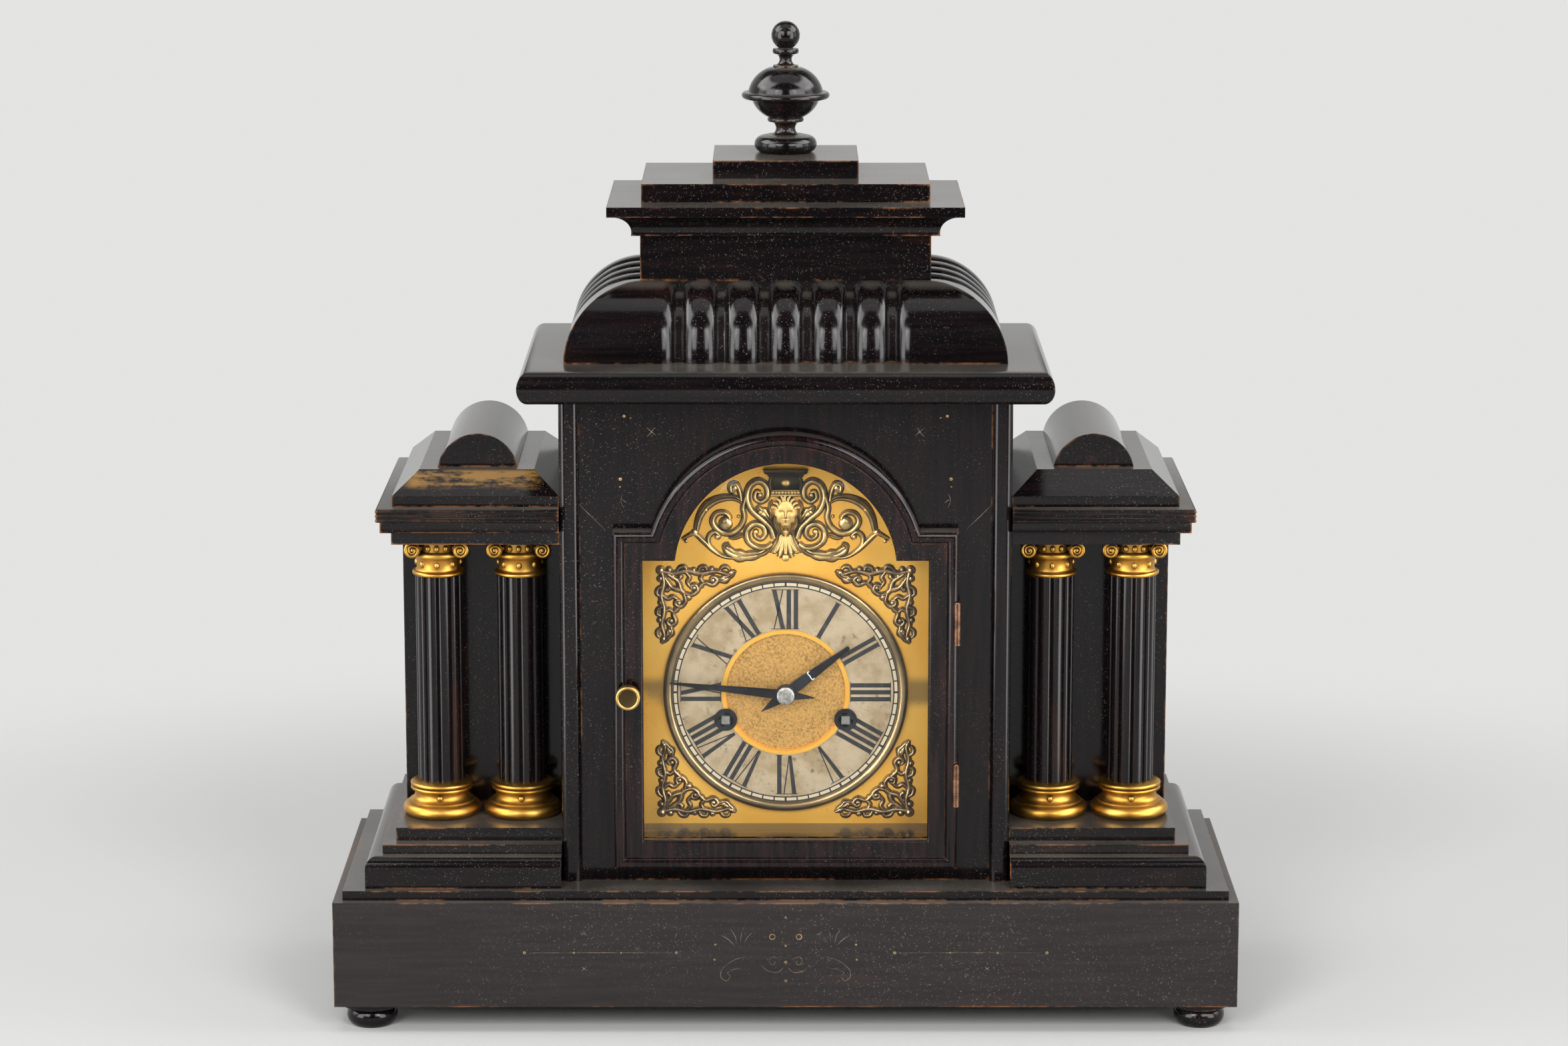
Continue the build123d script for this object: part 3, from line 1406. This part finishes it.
with BuildPart() as fly:
    pinion(fly_at, warning_at, fly_pinion_teeth, warning_module, warning_front)
    arbor(fly_at)
    fly_front = gap_front + fly_station
    fly_ends = (fly_at[0] - fly_half_span, fly_at[0] + fly_half_span, fly_front, fly_front + fly_length)
    block(*fly_ends, fly_at[1] - fly_thickness / 2, fly_at[1] + fly_thickness / 2)
save(fly, "fly")

# Gong: one flat coil of round wire whose outer end runs straight down to the stand
gong_depth = movement_back + gong_offset
gong_z = floor_z + gong_rise
gong_foot_z = floor_z + gong_stand_height
gong_radii = [gong_inner_radius + turn * gong_pitch / 2 for turn in range(gong_half_turns)]
gong_steps = range(0, 180, 5)
gong_points = []
with BuildPart() as gong:
    with BuildLine(face_plane(gong_depth)) as wire:
        here = (gong_x + gong_inner_radius, gong_z)
        Line((here[0], gong_z - 2 * gong_wire_radius), here)
        for turn, radius in enumerate(gong_radii):
            side = -1 if turn % 2 == 0 else 1
            middle = (here[0] + side * radius, gong_z)
            end = (here[0] + 2 * side * radius, gong_z)
            ThreePointArc(here, (middle[0], gong_z - side * radius), end)
            turned_by = 90 + 90 * side
            gong_points += [beside(middle, radius, turned_by + step) for step in gong_steps]
            here = end
        Line(here, (here[0], gong_foot_z))
    gong_end_x = here[0]
    with BuildSketch(Plane(origin=wire.line @ 0, z_dir=wire.line % 0)):
        Circle(gong_wire_radius)
    sweep(path=wire.line)
save(gong, "gong")

neighbours = len(gong_steps)
gong_gaps = [
    hypot(point[0] - other[0], point[1] - other[1]) - 2 * gong_wire_radius
    for index, point in enumerate(gong_points)
    for other in gong_points[index + neighbours :]
]
print("least gap between turns of the gong", round(min(gong_gaps), 3))

with BuildPart() as gong_stand:
    half = gong_stand_width / 2
    block(gong_end_x - half, gong_end_x + half, gong_depth - half, gong_depth + half, floor_z, gong_foot_z)
save(gong_stand, "gong_stand")

# Hammer: arbor through the back plate, tail by the lifting pins, rod and head by the gong's outer end
with BuildPart() as hammer:
    head_x = gong_end_x - gong_wire_radius - hammer_gap - hammer_head_length / 2
    head_z = floor_z + hammer_head_rise
    with Locations((head_x, at(gong_depth), head_z)):
        Cylinder(hammer_head_radius, hammer_head_length, rotation=(0, 90, 0))
    reach = hypot(head_x - hammer_at[0], head_z - hammer_at[1])
    lean = degrees(atan2(head_x - hammer_at[0], head_z - hammer_at[1]))
    with Locations(((head_x + hammer_at[0]) / 2, at(gong_depth), (head_z + hammer_at[1]) / 2)):
        Cylinder(hammer_rod_radius, reach, rotation=(0, lean, 0))
    rod(*hammer_at, gap_front + end_shake, gong_depth + hammer_rod_radius, arbor_radius)
    rod(*hammer_at, gap_front - pivot_bite, gap_front + end_shake, pivot_radius)
    tail_front = pin_front + wheel_thickness + end_shake
    tail_sides = (hammer_at[0] - arbor_radius, hammer_at[0] + hammer_tail)
    tail_heights = (hammer_at[1] - hammer_tail_width / 2, hammer_at[1] + hammer_tail_width / 2)
    block(*tail_sides, tail_front, tail_front + hammer_tail_thickness, *tail_heights)
save(hammer, "hammer")
